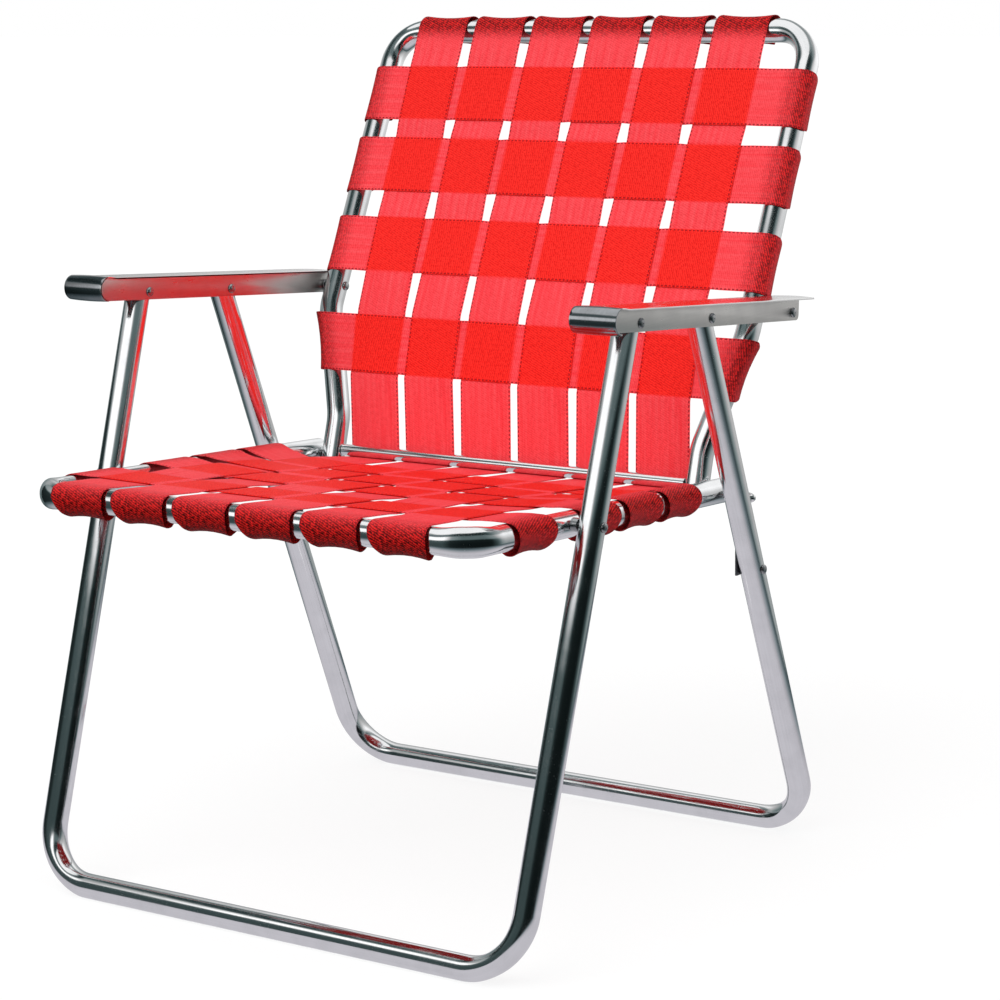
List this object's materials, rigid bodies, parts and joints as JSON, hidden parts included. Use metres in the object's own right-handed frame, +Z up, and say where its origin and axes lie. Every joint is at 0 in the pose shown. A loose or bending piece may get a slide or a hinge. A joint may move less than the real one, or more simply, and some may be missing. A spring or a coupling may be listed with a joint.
{
  "type": "folding lawn chair",
  "caption": "Folding lawn chair with bent tube legs, seat and back frames, channel armrests and interlaced flat webbing across the seat and back.",
  "frame": {"origin": "on the floor, under the middle of the chair's overall box", "axes": "+Z up, -Y the way the sitter faces, +X to the sitter's left"},
  "size_m": [0.652, 0.6664, 0.855],
  "materials": {
    "frame_tube": "polished",
    "armrest_channel": "satin",
    "hardware": "zinc plated",
    "link_steel": "dark",
    "webbing": "woven"
  },
  "bodies": {
    "front_legs": {"front_leg_frame": "frame_tube", "seat_rivet_left": "hardware", "seat_rivet_right": "hardware", "seat_spacer_left": "hardware", "seat_spacer_right": "hardware"},
    "armrests": {"armrest_left": "armrest_channel", "armrest_right": "armrest_channel", "front_leg_rivet_left": "hardware", "front_leg_rivet_right": "hardware", "rear_leg_rivet_left": "hardware", "rear_leg_rivet_right": "hardware", "back_rivet_left": "hardware", "back_rivet_right": "hardware", "back_washer_left": "hardware", "back_washer_right": "hardware"},
    "rear_legs": {"rear_leg_frame": "frame_tube", "link_rivet_left": "hardware", "link_rivet_right": "hardware"},
    "links": {"hinge_link_left": "link_steel", "hinge_link_right": "link_steel", "cap_nut_left": "hardware", "cap_nut_right": "hardware"},
    "seat": {"seat_frame": "frame_tube", "link_spacer_left": "hardware", "link_spacer_right": "hardware", "seat_strap_long_1": "webbing", "seat_strap_long_2": "webbing", "seat_strap_long_3": "webbing", "seat_strap_long_4": "webbing", "seat_strap_long_5": "webbing", "seat_strap_long_6": "webbing", "seat_strap_cross_1": "webbing", "seat_strap_cross_2": "webbing", "seat_strap_cross_3": "webbing", "seat_strap_cross_4": "webbing"},
    "back": {"back_frame": "frame_tube", "stretcher_tube": "frame_tube", "stretcher_rod": "hardware", "hinge_pin_left": "hardware", "hinge_pin_right": "hardware", "hinge_washer_left": "hardware", "hinge_washer_right": "hardware", "back_strap_long_1": "webbing", "back_strap_long_2": "webbing", "back_strap_long_3": "webbing", "back_strap_long_4": "webbing", "back_strap_long_5": "webbing", "back_strap_long_6": "webbing", "back_strap_cross_1": "webbing", "back_strap_cross_2": "webbing", "back_strap_cross_3": "webbing", "back_strap_cross_4": "webbing"}
  },
  "joints": [
    {"name": "fold", "type": "hinge", "parent": "front_legs", "child": "armrests", "pos_m": [0, -0.11336, 0.588], "axis": [-1, 0, 0], "range_deg": [0, 84.04]},
    {"name": "seat_fold", "type": "hinge", "parent": "front_legs", "child": "seat", "pos_m": [0, -0.17189, 0.40724], "axis": [-1, 0, 0], "range_deg": [0, 84.04]},
    {"name": "back_fold", "type": "hinge", "parent": "seat", "child": "back", "pos_m": [0, 0.12773, 0.38418], "axis": [-1, 0, 0], "range_deg": [-84.04, 0], "deforming": ["seat_strap_long_1", "seat_strap_long_2", "seat_strap_long_3", "seat_strap_long_4", "seat_strap_long_5", "seat_strap_long_6", "back_strap_long_1", "back_strap_long_2", "back_strap_long_3", "back_strap_long_4", "back_strap_long_5", "back_strap_long_6", "seat_strap_cross_4", "back_strap_cross_4"]},
    {"name": "rear_leg_fold", "type": "hinge", "parent": "armrests", "child": "rear_legs", "pos_m": [0, 0.01974, 0.57776], "axis": [-1, 0, 0], "range_deg": [-48.06, 0]},
    {"name": "link_fold", "type": "hinge", "parent": "rear_legs", "child": "links", "pos_m": [0, 0.1271, 0.31257], "axis": [-1, 0, 0], "range_deg": [0, 131.47]}
  ],
  "couplings": [
    {"joint": "seat_fold", "follows": "fold", "ratio": 1},
    {"joint": "back_fold", "follows": "fold", "ratio": -1},
    {"joint": "rear_leg_fold", "follows": "fold", "ratio": -0.57187},
    {"joint": "link_fold", "follows": "fold", "ratio": 1.5644}
  ]
}
